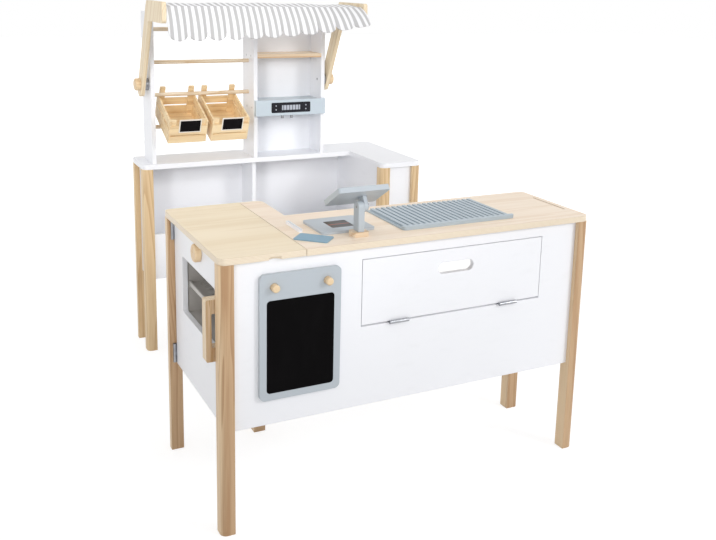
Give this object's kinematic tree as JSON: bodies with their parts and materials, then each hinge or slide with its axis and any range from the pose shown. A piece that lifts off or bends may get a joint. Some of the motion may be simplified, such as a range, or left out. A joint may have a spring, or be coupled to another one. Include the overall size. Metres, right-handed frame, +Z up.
{
  "type": "toy market stall",
  "caption": "Toy market stall: a play counter with oven, lid, drop flap and chalkboard, and a shelf unit behind it with hanging crates, drink niche and a tilting striped canopy",
  "frame": {"origin": "middle of the whole part's plan box, on the floor", "axes": "+X to the right seen from the counter's front, +Y from the counter to the stall, +Z up"},
  "size_m": [0.931, 1.158, 1.068],
  "materials": {
    "pine": "clear lacquered pine",
    "beech": "pale satin wood",
    "crate_wood": "plain sawn wood",
    "white_paint": "satin white paint on board",
    "grey_paint": "satin grey paint on board",
    "steel": "plain bright steel",
    "black_gloss": "dark glossy sheet",
    "slate": "matt chalkboard coat",
    "card_blue": "satin blue paint on board",
    "cloth": "striped woven cotton"
  },
  "bodies": {
    "frame": {"counter_legs": "pine", "chalkboard_pegs": "pine", "stall_legs": "pine", "niche_shelf": "pine", "stall_rods": "pine", "main_top": "beech", "monitor_foot": "beech", "front_panel": "white_paint", "right_panel": "white_paint", "block_panels": "white_paint", "block_divider": "white_paint", "counter_floors": "white_paint", "card_slot": "white_paint", "stall_top": "white_paint", "stall_back_panel": "white_paint", "stall_side_panels": "white_paint", "extension_panels": "white_paint", "bin_front": "white_paint", "bin_divider": "white_paint", "bin_floor": "white_paint", "left_upright": "white_paint", "middle_upright": "white_paint", "right_upright": "white_paint", "niche_back": "white_paint", "oven_liner": "grey_paint", "oven_rack": "grey_paint", "conveyor_tray": "grey_paint", "conveyor_ridges": "grey_paint", "scanner_plate": "grey_paint", "monitor_post": "grey_paint", "dispenser": "grey_paint", "hinge_barrels": "steel", "monitor_bolt": "steel", "dispenser_spouts": "steel", "canopy_pivots": "steel", "scanner_window": "black_gloss", "dispenser_display": "black_gloss"},
    "lid": {"lid": "beech", "lid_hinge_leaves": "steel"},
    "flap": {"flap_door": "white_paint", "flap_hinge_leaves": "steel"},
    "oven_door": {"oven_door": "white_paint", "oven_handle": "pine", "oven_hinge_leaves": "steel"},
    "oven_knob": {"oven_knob": "pine"},
    "chalkboard": {"chalkboard_frame": "grey_paint", "chalkboard": "slate"},
    "monitor": {"monitor_plate": "grey_paint", "monitor_screen": "black_gloss"},
    "bank_card": {"bank_card": "card_blue"},
    "crate_left": {"crate_left": "crate_wood", "crate_left_label": "slate"},
    "crate_right": {"crate_right": "crate_wood", "crate_right_label": "slate"},
    "canopy": {"canopy_arms": "pine", "canopy_rods": "pine", "canopy_cloth": "cloth"},
    "canopy_knob_left": {"canopy_knob_left": "pine"},
    "canopy_knob_right": {"canopy_knob_right": "pine"}
  },
  "joints": [
    {"name": "lid_hinge", "type": "hinge", "parent": "frame", "child": "lid", "pos_m": [-0.344, -0.1427, 0.5845], "axis": [-1, 0, 0], "range_deg": [0, 95]},
    {"name": "flap_hinge", "type": "hinge", "parent": "frame", "child": "flap", "pos_m": [0.103, -0.5603, 0.4102], "axis": [1, 0, 0], "range_deg": [0, 180]},
    {"name": "oven_door_hinge", "type": "hinge", "parent": "frame", "child": "oven_door", "pos_m": [-0.4368, -0.1788, 0.40575], "axis": [0, 0, -1], "range_deg": [0, 95]},
    {"name": "oven_knob_turn", "type": "hinge", "parent": "oven_door", "child": "oven_knob", "pos_m": [-0.433, -0.379, 0.5595], "axis": [-1, 0, 0], "range_deg": [0, 270]},
    {"name": "chalkboard_lift_off", "type": "slide", "parent": "frame", "child": "chalkboard", "axis": [0, -1, 0], "range_m": [0, 0.03]},
    {"name": "monitor_tilt", "type": "hinge", "parent": "frame", "child": "monitor", "pos_m": [-0.1205, -0.513, 0.663], "axis": [1, 0, 0], "range_deg": [-20, 30]},
    {"name": "bank_card_lift", "type": "slide", "parent": "frame", "child": "bank_card", "axis": [0, 0, 1], "range_m": [0, 0.05]},
    {"name": "crate_left_swing", "type": "hinge", "parent": "frame", "child": "crate_left", "pos_m": [-0.238, 0.489, 0.787], "axis": [-1, 0, 0], "range_deg": [0, 50]},
    {"name": "crate_right_swing", "type": "hinge", "parent": "frame", "child": "crate_right", "pos_m": [-0.109, 0.489, 0.787], "axis": [-1, 0, 0], "range_deg": [0, 50]},
    {"name": "canopy_tilt", "type": "hinge", "parent": "frame", "child": "canopy", "pos_m": [-0.0525, 0.47, 0.822], "axis": [1, 0, 0], "range_deg": [-24, 20]},
    {"name": "canopy_knob_left_turn", "type": "hinge", "parent": "frame", "child": "canopy_knob_left", "pos_m": [-0.3548, 0.47, 0.822], "axis": [1, 0, 0], "continuous": true},
    {"name": "canopy_knob_right_turn", "type": "hinge", "parent": "frame", "child": "canopy_knob_right", "pos_m": [0.2498, 0.47, 0.822], "axis": [1, 0, 0], "continuous": true}
  ]
}
